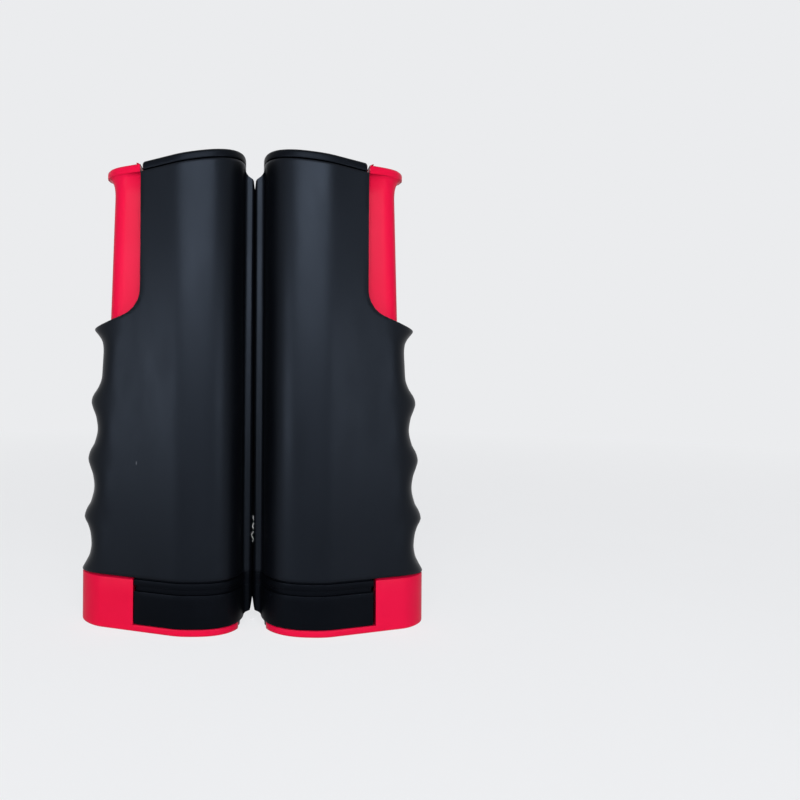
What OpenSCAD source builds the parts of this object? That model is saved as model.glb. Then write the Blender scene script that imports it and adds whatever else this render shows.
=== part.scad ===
// Portable table tennis net set: two squeeze-to-open table clamps with a retracting net between them.
// One post is drawn on the +X side of the seam, and the other is its mirror image.

/* [Post] */
// Distance from the seam to the edge of each net slot's lips
seam_gap = 0.2; // [0.2:0.1:0.8]
// Distance from the seam to the reel's axis
reel_x = 25.9; // [25.9:0.1:27]
// Radius of the round side of the housing, which holds the reel
roller_r = 22.1; // [21.8:0.1:22.5]
// Height of the housing's lower edge
housing_z = 21.9; // [21.5:0.1:21.9]
// Height that the slanted top would have at the seam
crest_z = 197.2; // [192:0.2:200]
// Fall of the top towards the grip, in degrees
top_slant = 8; // [5:0.5:9]
// Distance from the seam to the wall that the slider runs along
channel_x = 46.4; // [46.2:0.1:46.8]

/* [Grip] */
// Radius of the grip's rounded edge at its foot
grip_r = 10.3; // [9.8:0.1:10.8]
// Reach of the grip from the seam at its foot
grip_reach = 73.2; // [72.6:0.1:75]
// How much further in the grip's edge stands at the horn than at the foot
grip_lean = 5.2; // [4.6:0.1:5.6]
// Height of the horn above the fingers
horn_z = 125.8; // [124.5:0.1:127]
// Height of the lowest finger valley
finger_z = 32.8; // [32:0.1:34]
// Distance between the three lower finger valleys
finger_pitch = 24.3; // [24:0.1:24.6]
// Depth of the finger valleys
finger_depth = 3.3; // [2.5:0.1:3.6]

/* [Jaws] */
// Thickness of the lower jaw's plate
plate_h = 3.3; // [3:0.1:3.6]
// Radius of the jaws' round side
jaw_r = 22.4; // [22.4:0.1:22.8]
// Reach of the lower jaw from the seam
jaw_reach = 72.4; // [71.6:0.1:72.8]
// Distance from the seam to the outer end of the upper jaw
base_end = 48; // [47.6:0.1:48.1]
// Distance from the seam to the inner face of the left slider's web
left_web_x = 48.4; // [48.4:0.1:50]
// Distance from the seam to the inner face of the right slider's web
right_web_x = 50.3; // [48.4:0.1:51]
// Thickness of the two jaw pads
pad_h = 1.5; // [1:0.1:1.8]

/* [Slider] */
// Width of the slider's stem, front to back
stem_w = 19; // [18:0.2:19]
// Reach of the stem from the seam just below the flange
stem_reach = 58.8; // [58.6:0.1:59.6]
// Reach of the palm flange from the seam
flange_reach = 62.9; // [62.3:0.1:64]
// Thickness of the palm flange
flange_h = 3.7; // [3:0.1:4.4]
// Height of the palm flange's top
flange_z = 190.8; // [190:0.1:192]
// Travel of the slider when the jaws are squeezed open
jaw_travel = 45; // [30:1:45]

/* [Net reel] */
// Outer radius of the reel's tube
tube_r = 9; // [8.8:0.1:9.5]
// Radius of the net wound on the tube
roll_r = 16.4; // [14:0.1:17]
// Thickness of one layer of net
net_t = 0.7; // [0.5:0.1:0.8]
// Height of the net
net_h = 146; // [140:1:146]
// Radius of the reel's axle
axle_r = 2.5; // [2:0.1:3]

/* [Springs] */
// Wire diameter of the clamp spring
clamp_wire = 1.3; // [1:0.1:1.4]
// Turns of the clamp spring
clamp_turns = 15; // [10:1:16]
// Wire diameter of the reel's spring
reel_wire = 1; // [0.8:0.1:1.1]
// Turns of the reel's spring
reel_turns = 18; // [12:1:20]

/* [Hidden] */
$fn = 96;

wide = 90;  // more than half of every width
eps = 0.01;
slope = tan(top_slant);

// The housing's plan: a round side and a grip edge, joined by straight flanks that never move with height
grip_x = grip_reach - grip_r;
flank_sin = (roller_r - grip_r) / (grip_x - reel_x);
flank_cos = sqrt(1 - flank_sin * flank_sin);
function flank_y(x) = (roller_r - flank_sin * (x - reel_x)) / flank_cos;

// The grip's edge is a leaning cone that stays tangent to both flanks
cone_top_z = 130;
lean_rate = grip_lean / (horn_z - housing_z);
cone_h = cone_top_z - housing_z;
cone_top_x = (grip_reach - lean_rate * cone_h - grip_r - flank_sin * grip_x) / (1 - flank_sin);
cone_top_r = grip_r + flank_sin * (grip_x - cone_top_x);
cone_rate = (grip_x - cone_top_x) / cone_h;
function grip_edge(z) = grip_reach - lean_rate * (z - housing_z);

// Levels of the housing
cap_h = 3.5;
cap_gap = 0.4;
spigot_h = 2;       // how far the cap's spigot sinks into the housing
spigot_in = 3;      // and how far in from the edge it stands
cavity_low = housing_z + 7;
cavity_top = 179;
cavity_r = roller_r - 2.8;
lip_top = 188;
lip_half = 6.2;     // half the thickness of the pair of lips
slot_half = 1.2;    // half the width of the net slot
fillet_r = 4;       // hollow between the lips and the round side

// The cut-out above the horn
arc_r = 11.6;
arc_x = channel_x + arc_r;
arc_z = horn_z + 13.8;
horn_fall = 11;     // slope of the horn's upper face, in degrees

// Jaws
jaw_end_r = 11.3;
jaw_end_x = jaw_reach - jaw_end_r;
base_low = 3.6;
band_top = housing_z - 0.6;
band_low = band_top - 2.5;
groove_low = band_low - 2.2;
groove_in = 1.1;
pad_in = 3;
plate_round = 1.7;   // rounding under the plate's edge
plate_proud = 0.15;  // how far the plate stands out past the web
web_top = housing_z - 0.7;

// Slider
stem_in = 0.5;      // gap between the stem and the housing's wall
stem_corner = 6;
stem_lean = 1.7;    // outward lean of the stem's outer face, in degrees
stem_wall = 1.7;
step_z = housing_z + jaw_travel + 3;  // below this height the stem clears the upper jaw as it comes down
hollow_low = 52;
hollow_top = 182;
stem_low = 12;
play = 0.45;        // gap round the stem in the housing

// Clamp spring
spring_x = 51.7;
spring_r = 4.2;
shelf_top = 60;
shelf_h = 3.5;
shelf_half = 5.9;
end_gap = 0.5;      // gap in a coil's closed end turns

// Reel
net_low = cavity_low + 2;
tube_wall = 1.4;
reel_spring_r = 5.1;
bush_flange = 2;
bush_plug = 10;
sleeve_r = (reel_spring_r - reel_wire / 2) * cos(22.5) - 0.2;  // inside the coil's straight facets
sleeve_top = 62;
collar_z = 150;
running = 0.05;     // clearance of the bushes on the axle

// Screws
screw_seat = 6;     // distance from the parting plane to a shell screw's head
screw_shank = 1.4;
screw_head = 2.5;
head_h = 2;
base_screw_x = 20;
base_screw_y = 11;
screw_places = [[12, 25.6], [40, 25.6], [12, 184], [39, 182]];

function top_z(x) = crest_z - slope * x;

// ---- plans and cutters ----

// A drop-shaped block: two upright cylinders and the flanks that touch both
module taper(big_r, small_r, small_x, low, top) {
    s = (big_r - small_r) / (small_x - reel_x);
    c = sqrt(1 - s * s);
    translate([0, 0, low]) {
        translate([reel_x, 0, 0]) cylinder(r = big_r, h = top - low);
        translate([small_x, 0, 0]) cylinder(r = small_r, h = top - low);
        linear_extrude(top - low)
            polygon([[reel_x + big_r * s, big_r * c], [small_x + small_r * s, small_r * c],
                     [small_x + small_r * s, -small_r * c], [reel_x + big_r * s, -big_r * c]]);
    }
}

// The part of a shape that lies between two distances from the seam
module between(x0, x1) {
    intersection() {
        union() children();
        translate([x0, -wide, -wide]) cube([x1 - x0, 2 * wide, 4 * wide]);
    }
}

// A profile drawn in X and Z, carried front to back
module across(half) {
    rotate([90, 0, 0]) linear_extrude(2 * half, center = true) children();
}

// The slab between two planes with the slant of the top, given by their depths below it
module slanted(high, low) {
    across(wide) polygon([[-wide, top_z(-wide) - low], [wide, top_z(wide) - low],
                          [wide, top_z(wide) - high], [-wide, top_z(-wide) - high]]);
}

// ---- housing ----

// Profile of the lips seen from the front, with the hollow that runs out to the round side
module lip_profile() {
    edge_x = reel_x - sqrt(roller_r * roller_r - lip_half * lip_half) + 0.4;
    difference() {
        translate([seam_gap, housing_z]) square([reel_x - seam_gap, lip_top + fillet_r - housing_z]);
        translate([edge_x - fillet_r, lip_top + fillet_r]) circle(fillet_r);
        translate([edge_x - fillet_r - wide, lip_top]) square([wide, wide]);
    }
}

// The cut-out above the horn, where the slider's stem stands free
module horn_profile() {
    run_x = arc_x - arc_r * sin(horn_fall);
    run_z = arc_z - arc_r * cos(horn_fall);
    translate([arc_x, arc_z]) circle(arc_r);
    translate([channel_x, arc_z]) square([wide, wide]);
    polygon([[run_x, run_z], [run_x + wide, run_z - wide * tan(horn_fall)], [run_x + wide, arc_z + 1],
             [arc_x, arc_z + 1]]);
}

// The finger valleys: three even ones, and a longer one for the first finger under the horn
module finger_profile() {
    valley_r = 20;
    first_r = 9;
    first_z = horn_z - 10;
    next_r = 12;
    next_z = first_z - 10.3;
    for (i = [0:2]) {
        z = finger_z + i * finger_pitch;
        translate([grip_edge(z) - finger_depth + valley_r, z]) circle(valley_r);
    }
    first_x = grip_edge(first_z) - finger_depth - 0.9 + first_r;
    next_x = grip_edge(next_z) - finger_depth - 0.8 + next_r;
    translate([first_x, first_z]) circle(first_r);
    translate([next_x, next_z]) circle(next_r);
    polygon([[first_x - first_r, first_z], [next_x - next_r, next_z], [next_x, next_z], [first_x, first_z]]);
}

// The leaning cone of the grip's edge
module grip_cone() {
    lean = atan(cone_rate);
    run = 8;     // the cone is longer at both ends, and is cut level afterwards
    shy = 0.05;  // it stands this little inside the flanks
    grow = flank_sin * cone_rate * run;
    translate([grip_x + cone_rate * run, 0, housing_z - run])
        rotate([0, -lean, 0])
            cylinder(r1 = grip_r - grow - shy, r2 = cone_top_r + grow - shy, h = (cone_h + 2 * run) / cos(lean));
}

// The flanks, ended where they touch the cone
module flanks() {
    low_x = grip_x + flank_sin * grip_r;
    rate = (low_x - cone_top_x - flank_sin * cone_top_r) / cone_h;
    top = crest_z - housing_z;
    intersection() {
        translate([0, 0, housing_z]) linear_extrude(top)
            polygon([[reel_x + roller_r * flank_sin, roller_r * flank_cos], [wide, flank_y(wide)],
                     [wide, -flank_y(wide)], [reel_x + roller_r * flank_sin, -roller_r * flank_cos]]);
        across(wide)
            polygon([[reel_x, housing_z - 1], [low_x + rate, housing_z - 1], [low_x - rate * top, crest_z],
                     [reel_x, crest_z]]);
    }
}

// The whole outside of the housing, before it is split and hollowed
module housing() {
    difference() {
        intersection() {
            union() {
                translate([reel_x, 0, housing_z]) cylinder(r = roller_r, h = crest_z - housing_z);
                flanks();
                grip_cone();
                across(lip_half) lip_profile();
            }
            slanted(cap_h + cap_gap, crest_z - housing_z + wide);
        }
        translate([-1, -wide, housing_z - wide]) cube([2 * wide, 2 * wide, wide]);
        across(wide) horn_profile();
        across(wide) finger_profile();
    }
}

// A stem with rounded outer corners, a leaning outer face and an upright inner one
module stem(grow, inner_x, low, top) {
    half = stem_w / 2 + grow;
    corner = stem_corner + grow;
    intersection() {
        translate([stem_reach + grow, 0, hollow_top]) rotate([0, -stem_lean, 0])
            translate([0, 0, low - hollow_top - 10]) linear_extrude(top - low + 20) {
                for (side = [-1, 1])
                    translate([-corner, side * (half - corner)]) circle(corner);
                translate([-corner, corner - half]) square([corner, 2 * (half - corner)]);
                translate([-wide, -half]) square([wide - corner, 2 * half]);
            }
        translate([inner_x, -wide, low]) cube([wide, 2 * wide, top - low]);
    }
}

// A shell screw along Y, with its head towards the back
module shell_screw(place, shank, head, head_len) {
    translate([place[0], 0, place[1]]) {
        translate([0, -8, 0]) rotate([-90, 0, 0]) cylinder(r = shank, h = 8 + screw_seat + eps);
        translate([0, screw_seat, 0]) rotate([-90, 0, 0]) cylinder(r = head, h = head_len);
    }
}

// What the two shells leave open between them
module hollows() {
    translate([reel_x, 0, cavity_low]) cylinder(r = cavity_r, h = cavity_top - cavity_low);
    translate([reel_x, 0, cavity_low - 5]) cylinder(r = axle_r + running, h = cavity_top - cavity_low + 10);
    translate([-1, -slot_half, cavity_low]) cube([reel_x / 2, 2 * slot_half, cavity_top - cavity_low]);
    difference() {
        stem(play, channel_x, housing_z - 1, crest_z);
        translate([channel_x - 1, -shelf_half, shelf_top - shelf_h])
            cube([spring_x + spring_r + clamp_wire - channel_x + 0.5, 2 * shelf_half, shelf_h]);
    }
    spigot(spigot_in, cap_h, cap_h + cap_gap + spigot_h);
    for (place = screw_places) shell_screw(place, screw_shank + 0.1, screw_head + 0.1, roller_r);
    for (side = [-1, 1])
        translate([base_screw_x, side * base_screw_y, housing_z - 1]) cylinder(r = screw_shank + 0.1, h = 6.5);
}

module front_shell() {
    color("#20242c") difference() {
        intersection() {
            housing();
            translate([-1, -wide, 0]) cube([wide, wide, crest_z]);
        }
        hollows();
    }
}

module back_shell() {
    color("#20242c") difference() {
        intersection() {
            housing();
            translate([-1, 0, 0]) cube([wide, wide, crest_z]);
        }
        hollows();
    }
}

// ---- cap and base ----

// A slanted slice of the cap, drawn in from its edge by inset
module cap_slice(inset, high, low) {
    intersection() {
        between(0, channel_x - 0.8 - inset)
            taper(roller_r - inset, grip_r - inset, grip_x, crest_z / 2, crest_z);
        slanted(high, low);
    }
}

// The block under the cap that sits in the housing's top and holds the shells together
module spigot(inset, high, low) {
    intersection() {
        between(0, channel_x - inset - 0.6)
            taper(roller_r - inset, grip_r - inset, grip_x, crest_z / 2, crest_z);
        slanted(high, low);
    }
}

module top_cap() {
    color("#262a33") {
        hull() {
            cap_slice(0, 1.2, cap_h, $fn = 64);
            cap_slice(0.35, 0.45, 0.9, $fn = 64);
            cap_slice(1.2, 0, 0.5, $fn = 64);
        }
        spigot(spigot_in + 0.1, cap_h - 0.2, cap_h + cap_gap + spigot_h);
    }
}

// Profile of the upper jaw's nose, which carries the lips down to a hollow arch over the table's edge
module nose_profile() {
    nose_r = 5;
    difference() {
        translate([seam_gap, base_low]) square([reel_x - seam_gap, band_top - base_low]);
        translate([seam_gap, 0.65]) circle(nose_r);
    }
}

module base_block() {
    color("#1d2028") difference() {
        union() {
            between(0, base_end) {
                taper(jaw_r, jaw_end_r, jaw_end_x, base_low, groove_low);
                taper(jaw_r, jaw_end_r, jaw_end_x, band_low, band_top);
            }
            between(0, base_end - groove_in)
                taper(jaw_r - groove_in, jaw_end_r - groove_in, jaw_end_x, base_low + 1, housing_z);
            across(lip_half - 0.4) nose_profile();
        }
        // seat of the pad
        between(0, base_end - pad_in)
            taper(jaw_r - pad_in, jaw_end_r - pad_in, jaw_end_x, base_low - 1, base_low + pad_h - 1);
        for (side = [-1, 1]) translate([base_screw_x, side * base_screw_y, 0]) {
            cylinder(r = screw_shank + 0.1, h = wide);
            cylinder(r = screw_head + 0.3, h = base_low + pad_h + head_h + 1.5);
        }
    }
}

module upper_pad() {
    color("#3a3c40") between(0, base_end - pad_in - 0.1)
        taper(jaw_r - pad_in - 0.1, jaw_end_r - pad_in - 0.1, jaw_end_x, base_low - 0.1, base_low + pad_h - 1);
}

// ---- slider: palm flange, stem, web and lower jaw in one moulding ----

module jaw_slice(inset, low, top) {
    taper(jaw_r - inset, jaw_end_r - inset, jaw_end_x, low, top);
}

module flange_plan(low, top) {
    flange_r = 13.5;
    between(channel_x + stem_in, wide) taper(roller_r - 0.4, flange_r, flange_reach - flange_r, low, top);
}

module flange() {
    hollow_r = 9;
    under = flange_z - flange_h;
    edge_z = under - 7.5;
    flange_plan(under, flange_z);
    // the flare under the flange's outer edge
    difference() {
        intersection() {
            flange_plan(edge_z, under + 0.3);
            translate([stem_reach - stem_wall / 2, -stem_w / 2, edge_z]) cube([wide, stem_w, wide]);
        }
        translate([stem_reach + hollow_r, 0, edge_z]) rotate([90, 0, 0])
            cylinder(r = hollow_r, h = wide, center = true);
    }
}

module slider(web_x) {
    color("#d4123c") {
        difference() {
            union() {
                hull() {
                    jaw_slice(plate_round, 0, 0.4, $fn = 64);
                    jaw_slice(plate_round / 3, plate_round / 3, 0.8, $fn = 64);
                    jaw_slice(-plate_proud, plate_round, plate_h, $fn = 64);
                }
                between(web_x, wide) taper(jaw_r, jaw_end_r, jaw_end_x, plate_h - 0.5, web_top);
                stem(0, channel_x + stem_in, step_z, flange_z - flange_h + 0.5);
                stem(0, max(web_x, base_end + 0.4), stem_low, step_z + 1);
            }
            // the hollow that the clamp spring stands in, open towards the housing
            stem(-stem_wall, channel_x - 1, hollow_low, hollow_top);
            between(0, base_end - pad_in)
                taper(jaw_r - pad_in, jaw_end_r - pad_in, jaw_end_x, plate_h - pad_h + 0.1, plate_h + 1);
        }
        flange();
        // stud that keeps the spring straight
        translate([spring_x, 0, hollow_top - 32]) cylinder(r = spring_r - clamp_wire / 2 - 0.8, h = 33);
    }
}

module lower_pad() {
    color("#3a3c40") between(0, base_end - pad_in - 0.1)
        taper(jaw_r - pad_in - 0.1, jaw_end_r - pad_in - 0.1, jaw_end_x, plate_h - pad_h + 0.1, base_low - 0.12);
}

// ---- springs ----

// Points of a coil whose first and last turns close up
function coil_z(t, turns, h, wire) =
    let (shut = wire + end_gap, pitch = (h - 2 * shut) / (turns - 2))
    t < 1 ? t * shut : t > turns - 1 ? h - (turns - t) * shut : shut + (t - 1) * pitch;
function coil_point(t, turns, r, h, wire) =
    [r * cos(360 * t), r * sin(360 * t), coil_z(t, turns, h, wire)];

// A wire swept along a coil, with 8 rings a turn and 6 sides
module coil(turns, r, h, wire) {
    rings = turns * 8;
    sides = 6;
    points = [for (i = [0:rings]) let (t = i / 8, p = coil_point(t, turns, r, h, wire))
        for (k = [0:sides - 1]) let (a = 360 * k / sides, across_r = wire / 2 * cos(a))
            [p[0] + across_r * cos(360 * t), p[1] + across_r * sin(360 * t), p[2] + wire / 2 * sin(a)]];
    walls = [for (i = [0:rings - 1], k = [0:sides - 1]) let (a = i * sides, n = (k + 1) % sides)
        each [[a + k, a + sides + k, a + n], [a + n, a + sides + k, a + sides + n]]];
    ends = [for (k = [1:sides - 2]) each [[0, k, k + 1], [rings * sides, rings * sides + k + 1, rings * sides + k]]];
    polyhedron(points, concat(walls, ends));
}

// Least gap between the wire and its own next turn
function coil_gap(turns, h, wire) = min([for (i = [0:(turns - 1) * 8])
    coil_z(i / 8 + 1, turns, h, wire) - coil_z(i / 8, turns, h, wire) - wire]);

clamp_h = hollow_top - shelf_top - clamp_wire - 0.1;
reel_h = collar_z - sleeve_top + 14;

module clamp_spring() {
    color("#b8bcc2") translate([spring_x, 0, shelf_top + clamp_wire / 2 + 0.05])
        coil(clamp_turns, spring_r, clamp_h, clamp_wire);
}

module reel_spring() {
    color("#b8bcc2") translate([reel_x, 0, sleeve_top - 15])
        coil(reel_turns, reel_spring_r, reel_h, reel_wire);
}

// ---- reel ----

module ring(outer, inner, h) {
    difference() {
        cylinder(r = outer, h = h);
        translate([0, 0, -1]) cylinder(r = inner, h = h + 2);
    }
}

module reel_axle() {
    color("#a9adb3") translate([reel_x, 0, cavity_low - 4.5]) {
        cylinder(r = axle_r, h = cavity_top - cavity_low + 9);
        translate([0, 0, collar_z - cavity_low + 4.5]) cylinder(r = sleeve_r, h = 5);
    }
}

module reel_tube() {
    color("#d8d8d2") translate([reel_x, 0, net_low])
        ring(tube_r, tube_r - tube_wall, net_h);
}

module bottom_bush() {
    color("#e4e2da") translate([reel_x, 0, net_low - bush_flange]) {
        ring(tube_r + 1.5, axle_r + running, bush_flange);
        ring(tube_r - tube_wall - 0.02, axle_r + running, bush_flange + bush_plug);
        ring(sleeve_r, axle_r + running, sleeve_top - net_low + bush_flange);
    }
}

module top_bush() {
    color("#e4e2da") translate([reel_x, 0, net_low + net_h]) {
        ring(tube_r + 1.5, axle_r + running, bush_flange - 0.4);
        translate([0, 0, -bush_plug]) ring(tube_r - tube_wall - 0.02, axle_r + running, bush_plug + 1);
    }
}

// The wound net: its outer layer climbs by one thickness in a turn and ends in a step
module net_roll() {
    steps = 60;
    core = roll_r - net_t;
    color("#2c3a34") translate([reel_x, 0, net_low]) linear_extrude(net_h) difference() {
        polygon([for (i = [0:steps]) let (a = 160 - 360 * i / steps, r = core + net_t * (1 - i / steps))
            [r * cos(a), r * sin(a)]]);
        circle(tube_r + 0.05);
    }
}

// A straight run of net between two points of the plan
module run(a, b) {
    d = b - a;
    translate(a) rotate(atan2(d[1], d[0])) translate([0, -net_t / 2]) square([norm(d), net_t]);
    translate(a) circle(net_t / 2);
    translate(b) circle(net_t / 2);
}

// The net from the roll's tangent to the seam
module net_tail() {
    slot_x = 7.2;
    reach = reel_x - slot_x;
    touch_r = roll_r + net_t / 2 + 0.4;
    length = sqrt(reach * reach - touch_r * touch_r);
    turn = asin(touch_r / reach);
    color("#2c3a34") translate([0, 0, net_low]) linear_extrude(net_h) {
        run([0.6, 0], [slot_x, 0]);
        run([slot_x, 0], [slot_x + length * cos(turn), length * sin(turn)]);
    }
}

// ---- screws ----

module shell_screws() {
    color("#8c9096") for (place = screw_places) shell_screw(place, screw_shank, screw_head, head_h);
}

module base_screws() {
    seat = base_low + pad_h + head_h + 1.5;
    color("#8c9096") for (side = [-1, 1]) translate([base_screw_x, side * base_screw_y, 0]) {
        translate([0, 0, seat - head_h]) cylinder(r = screw_head, h = head_h);
        translate([0, 0, seat - eps]) cylinder(r = screw_shank, h = housing_z + 5 - seat);
    }
}

module left() {
    mirror([1, 0, 0]) children();
}

echo(least_gap_clamp_spring_mm = coil_gap(clamp_turns, clamp_h, clamp_wire),
     least_gap_reel_spring_mm = coil_gap(reel_turns, reel_h, reel_wire));

left() front_shell();  // left_front_shell
left() back_shell();  // left_back_shell
left() top_cap();  // left_top_cap
left() base_block();  // left_base_block
left() upper_pad();  // left_upper_pad
left() slider(left_web_x);  // left_slider
left() lower_pad();  // left_lower_pad
left() clamp_spring();  // left_clamp_spring
left() reel_axle();  // left_reel_axle
left() reel_tube();  // left_reel_tube
left() bottom_bush();  // left_bottom_bush
left() top_bush();  // left_top_bush
left() reel_spring();  // left_reel_spring
left() net_roll();  // left_net_roll
left() net_tail();  // left_net_tail
left() shell_screws();  // left_shell_screws
left() base_screws();  // left_base_screws
front_shell();  // right_front_shell
back_shell();  // right_back_shell
top_cap();  // right_top_cap
base_block();  // right_base_block
upper_pad();  // right_upper_pad
slider(right_web_x);  // right_slider
lower_pad();  // right_lower_pad
clamp_spring();  // right_clamp_spring
reel_axle();  // right_reel_axle
reel_tube();  // right_reel_tube
bottom_bush();  // right_bottom_bush
top_bush();  // right_top_bush
reel_spring();  // right_reel_spring
net_roll();  // right_net_roll
net_tail();  // right_net_tail
shell_screws();  // right_shell_screws
base_screws();  // right_base_screws
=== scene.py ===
# Two squeeze-to-open table clamps with a retracting table tennis net between them.
# Everything is drawn for the right-hand post in millimetres and mirrored for the left.
# The lamps, the camera and the studio are in metres.
import math

import bmesh
import bpy
import numpy as np
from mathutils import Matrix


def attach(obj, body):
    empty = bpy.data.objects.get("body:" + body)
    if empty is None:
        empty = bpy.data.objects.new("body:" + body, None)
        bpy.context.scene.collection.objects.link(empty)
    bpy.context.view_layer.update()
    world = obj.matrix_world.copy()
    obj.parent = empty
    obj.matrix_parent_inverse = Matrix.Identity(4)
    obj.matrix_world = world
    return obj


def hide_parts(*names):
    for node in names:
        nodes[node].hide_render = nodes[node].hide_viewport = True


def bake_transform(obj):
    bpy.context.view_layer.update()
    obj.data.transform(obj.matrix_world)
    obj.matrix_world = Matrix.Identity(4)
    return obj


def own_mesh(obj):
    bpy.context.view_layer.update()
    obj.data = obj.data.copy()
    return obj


print("loading the frame")
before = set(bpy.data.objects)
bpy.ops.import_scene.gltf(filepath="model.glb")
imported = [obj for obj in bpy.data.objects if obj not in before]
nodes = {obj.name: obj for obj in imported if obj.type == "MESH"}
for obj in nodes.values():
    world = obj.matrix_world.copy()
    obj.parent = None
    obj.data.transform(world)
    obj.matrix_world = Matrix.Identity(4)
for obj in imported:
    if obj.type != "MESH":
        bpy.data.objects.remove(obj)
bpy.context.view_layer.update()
scene = bpy.context.scene
mm = 0.001
sides = {"left": -1, "right": 1}


def smoothThrough(stations, at):  # a smooth curve through (position, value) pairs, with no overshoot
    x, y = (np.array(column, float) for column in zip(*stations))
    run = np.diff(x)
    slope = np.diff(y) / run
    tangent = np.zeros(len(x))
    tangent[0], tangent[-1] = slope[0], slope[-1]
    for i in range(1, len(x) - 1):
        if slope[i - 1] * slope[i] > 0:
            tangent[i] = 2 * slope[i - 1] * slope[i] / (slope[i - 1] + slope[i])
    at = min(max(at, x[0]), x[-1])
    i = min(int(np.searchsorted(x, at, side="right")) - 1, len(run) - 1)
    t = (at - x[i]) / run[i]
    return (
        (1 + 2 * t) * (1 - t) ** 2 * y[i]
        + t * (1 - t) ** 2 * run[i] * tangent[i]
        + t * t * (3 - 2 * t) * y[i + 1]
        + t * t * (t - 1) * run[i] * tangent[i + 1]
    )


def softLess(a, b, reach):  # the smaller of two values, rounded off where they meet
    near = np.maximum(reach - np.abs(a - b), 0) / reach
    return np.minimum(a, b) - near * near * reach / 4


def curveThrough(points, perSpan=6):  # a smooth line through the points
    points = np.array(points, float)
    padded = np.vstack([2 * points[0] - points[1], points, 2 * points[-1] - points[-2]])
    line = []
    for i in range(1, len(padded) - 2):
        p0, p1, p2, p3 = padded[i - 1 : i + 3]
        for t in np.linspace(0, 1, perSpan, endpoint=False):
            line.append(0.5 * (2 * p1 + (p2 - p0) * t + (2 * p0 - 5 * p1 + 4 * p2 - p3) * t * t
                               + (3 * p1 - p0 - 3 * p2 + p3) * t**3))
    line.append(padded[-2])
    return np.array(line)


def wholeLoop(half):  # the back half of a plan, mirrored into a closed loop
    half = np.asarray(half, float)
    front = half[::-1] * [1, -1]
    keep = np.abs(front[:, 1]) > 1e-6
    return np.vstack([half, front[keep]])


def drawnIn(loop, inset):  # the loop moved inwards by inset
    ahead = np.roll(loop, -1, axis=0) - np.roll(loop, 1, axis=0)
    length = np.maximum(np.hypot(ahead[:, 0], ahead[:, 1]), 1e-9)
    normal = np.stack([ahead[:, 1], -ahead[:, 0]], axis=1) / length[:, None]
    return loop + normal * np.reshape(inset, (-1, 1))


def meshPiece(name, verts, faces, side, material, smooth=32):
    mesh = bpy.data.meshes.new(name)
    verts = np.asarray(verts, float) * mm
    verts[:, 0] *= side
    mesh.from_pydata(verts.tolist(), [], faces)
    shape = bmesh.new()
    shape.from_mesh(mesh)
    bmesh.ops.remove_doubles(shape, verts=shape.verts, dist=1e-7)
    bmesh.ops.recalc_face_normals(shape, faces=shape.faces)
    shape.to_mesh(mesh)
    shape.free()
    piece = bpy.data.objects.new(name, mesh)
    scene.collection.objects.link(piece)
    mesh.materials.append(material)
    softShade(piece, smooth)
    return piece


def softShade(piece, angle):
    piece.data.shade_smooth()
    piece.data.set_sharp_from_angle(angle=math.radians(angle))


def stacked(rows, capEnds=True):  # quads between loops of equal count, and the two end faces
    count = len(rows[0])
    faces = [
        (r * count + i, r * count + (i + 1) % count, (r + 1) * count + (i + 1) % count, (r + 1) * count + i)
        for r in range(len(rows) - 1)
        for i in range(count)
    ]
    if capEnds:
        faces += [tuple(range(count)), tuple(range((len(rows) - 1) * count, len(rows) * count))]
    return np.vstack(rows), faces


def atHeight(loop, z):
    return np.column_stack([loop, np.broadcast_to(z, len(loop))])


def merged(name, pieces):  # several meshes as one object
    shape = bmesh.new()
    for piece in pieces:
        shape.from_mesh(piece.data)
    mesh = bpy.data.meshes.new(name)
    shape.to_mesh(mesh)
    shape.free()
    for material in pieces[0].data.materials:
        mesh.materials.append(material)
    whole = bpy.data.objects.new(name, mesh)
    scene.collection.objects.link(whole)
    for piece in pieces:
        bpy.data.objects.remove(piece)
    return whole


def carve(piece, cutter):  # boolean, applied at once
    cut = piece.modifiers.new("carve", "BOOLEAN")
    cut.operation, cut.object, cut.solver = "DIFFERENCE", cutter, "EXACT"
    done = bpy.data.meshes.new_from_object(piece.evaluated_get(bpy.context.evaluated_depsgraph_get()))
    piece.modifiers.clear()
    piece.data = done


def mirrored(name, piece):  # the same piece for the other post
    shape = bmesh.new()
    shape.from_mesh(piece.data)
    for vert in shape.verts:
        vert.co.x *= -1
    bmesh.ops.reverse_faces(shape, faces=shape.faces)
    mesh = piece.data.copy()
    shape.to_mesh(mesh)
    shape.free()
    mesh.name = name
    twin = bpy.data.objects.new(name, mesh)
    scene.collection.objects.link(twin)
    return twin


def block(x, y, z, side):  # a cutter with its low and high corners
    loop = np.array([[x[0], y[0]], [x[1], y[0]], [x[1], y[1]], [x[0], y[1]]], float)
    return meshPiece("cutter", *stacked([atHeight(loop, z[0]), atHeight(loop, z[1])]), side, spare)


def turned(name, centre, profile, side, material, steps, axis="z"):
    # a lathe shape: profile is (radius, height) from the bottom up
    angle = np.linspace(0, 2 * math.pi, steps, endpoint=False)
    rows = []
    for radius, height in profile:
        ring = np.column_stack([radius * np.cos(angle), radius * np.sin(angle), np.full(steps, height)])
        if axis == "y":
            ring = ring[:, [0, 2, 1]]
        rows.append(ring + np.array(centre, float))
    return meshPiece(name, *stacked(rows), side, material)


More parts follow.
